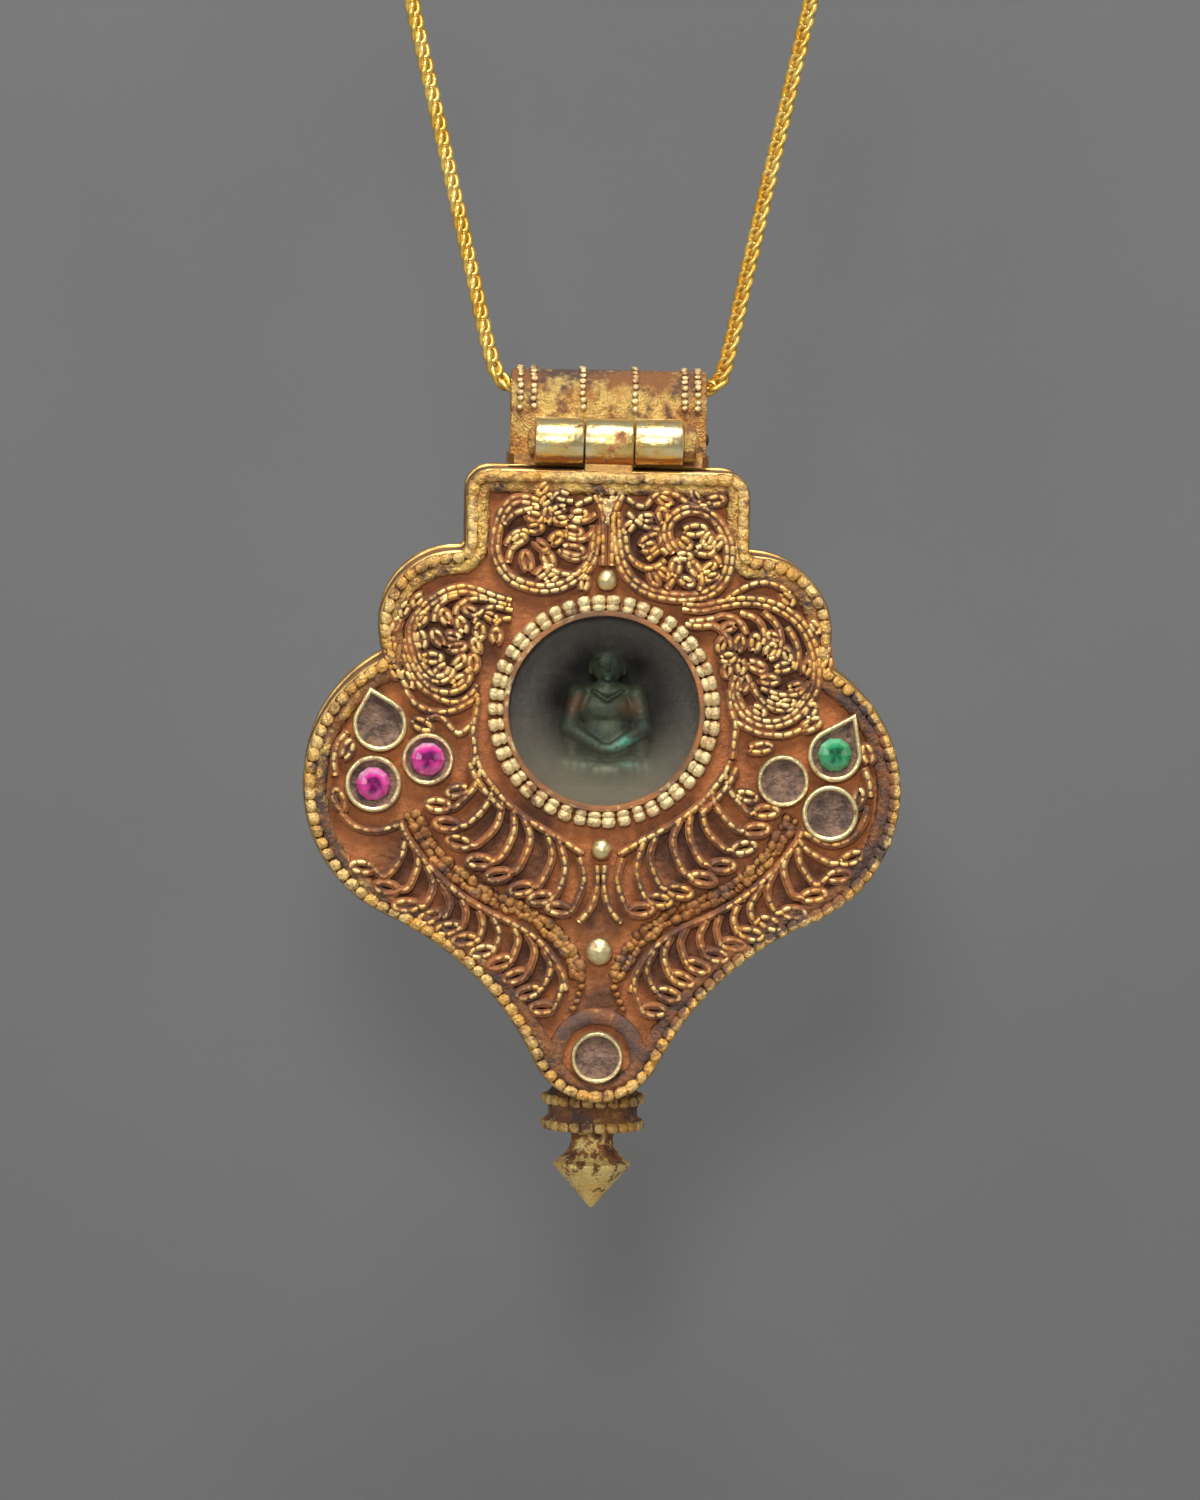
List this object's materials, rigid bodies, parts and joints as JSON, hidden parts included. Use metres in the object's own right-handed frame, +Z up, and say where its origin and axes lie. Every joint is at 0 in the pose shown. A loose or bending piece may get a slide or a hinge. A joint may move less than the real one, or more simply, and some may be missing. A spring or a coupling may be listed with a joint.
{
  "type": "ghau amulet box",
  "caption": "Hinged gilt filigree amulet box on a curb chain, with a glazed round window, a small seated figure behind it, bezel settings with a few stones left and a turned finial.",
  "frame": {"origin": "on the chain's axis in the middle of the bail, where the box hangs on its chain", "axes": "+X to the viewer's right, -Y to the front with the window, +Z up"},
  "size_m": [0.0538, 0.0159, 0.1181],
  "materials": {
    "chain_gold": "bright worn gilding with brown tarnish in the links",
    "gilt_wire": "pale gilt twisted and beaded wire, brown in the grooves",
    "aged_gilt": "mottled orange gilding with dark purple-brown patina",
    "bright_brass": "smooth pale polished brass",
    "dark_wire": "dark brown patina with specks of gilding",
    "terracotta_ground": "matte orange terracotta colour on sheet metal",
    "window_glass": "old clear glass, hazy towards the edge",
    "setting_cement": "grey-brown matte setting cement",
    "pink_stone": "faceted magenta-pink stone",
    "green_stone": "faceted green stone",
    "patinated_bronze": "dark green patina with a turquoise patch",
    "backing_cloth": "dark cloth",
    "shelf_wood": "dark plain wood"
  },
  "bodies": {
    "chain": {"neck_chain": "chain_gold", "chain_end_ring_left": "chain_gold", "chain_end_ring_right": "chain_gold"},
    "bail": {"bail_strap": "aged_gilt", "bail_base_plate": "aged_gilt", "bail_bead_rows": "gilt_wire", "front_hinge_outer_knuckles": "bright_brass", "rear_hinge_outer_knuckles": "bright_brass", "front_hinge_pin": "bright_brass"},
    "rear_pin": {"rear_hinge_pin": "dark_wire"},
    "front_half": {"front_rim_wire": "gilt_wire", "window_bead_ring": "gilt_wire", "top_scroll_left": "gilt_wire", "top_scroll_right": "gilt_wire", "shoulder_scroll_left": "gilt_wire", "shoulder_scroll_right": "gilt_wire", "inner_feather_left": "gilt_wire", "inner_feather_right": "gilt_wire", "outer_feather_left": "gilt_wire", "outer_feather_right": "gilt_wire", "crown_strip": "gilt_wire", "upper_ball": "gilt_wire", "lower_ball": "gilt_wire", "flattened_boss": "gilt_wire", "front_hinge_centre_knuckle": "bright_brass", "window_collar": "bright_brass", "teardrop_bezel_left": "bright_brass", "teardrop_bezel_right": "bright_brass", "outer_bezel_left": "bright_brass", "outer_bezel_right": "bright_brass", "inner_bezel_left": "bright_brass", "inner_bezel_right": "bright_brass", "bottom_bezel": "bright_brass", "front_side_band": "aged_gilt", "closing_tabs": "aged_gilt", "glass_clips": "aged_gilt", "spine_band_left": "dark_wire", "spine_band_right": "dark_wire", "bottom_ring": "dark_wire", "front_plate": "terracotta_ground", "window_glass": "window_glass", "setting_cement": "setting_cement", "pink_stone_outer": "pink_stone", "pink_stone_inner": "pink_stone", "green_stone": "green_stone"},
    "rear_half": {"rear_hinge_centre_knuckle": "bright_brass", "rear_shell": "aged_gilt", "finial_collar": "aged_gilt", "finial_stem": "aged_gilt", "finial_bead_rows": "gilt_wire", "figure_backing": "backing_cloth", "figure_shelf": "shelf_wood", "votive_figure": "patinated_bronze"}
  },
  "joints": [
    {"name": "bail_swing", "type": "hinge", "parent": "chain", "child": "bail", "pos_m": [0, 0, 0], "axis": [1, 0, 0], "range_deg": [-30, 30]},
    {"name": "front_opening", "type": "hinge", "parent": "bail", "child": "front_half", "pos_m": [0, -0.0053, -0.00473], "axis": [-1, 0, 0], "range_deg": [0, 100]},
    {"name": "rear_opening", "type": "hinge", "parent": "bail", "child": "rear_half", "pos_m": [0, 0.0053, -0.00473], "axis": [1, 0, 0], "range_deg": [0, 100]},
    {"name": "rear_pin_slide", "type": "slide", "parent": "bail", "child": "rear_pin", "axis": [1, 0, 0], "range_m": [0, 0.016]}
  ]
}
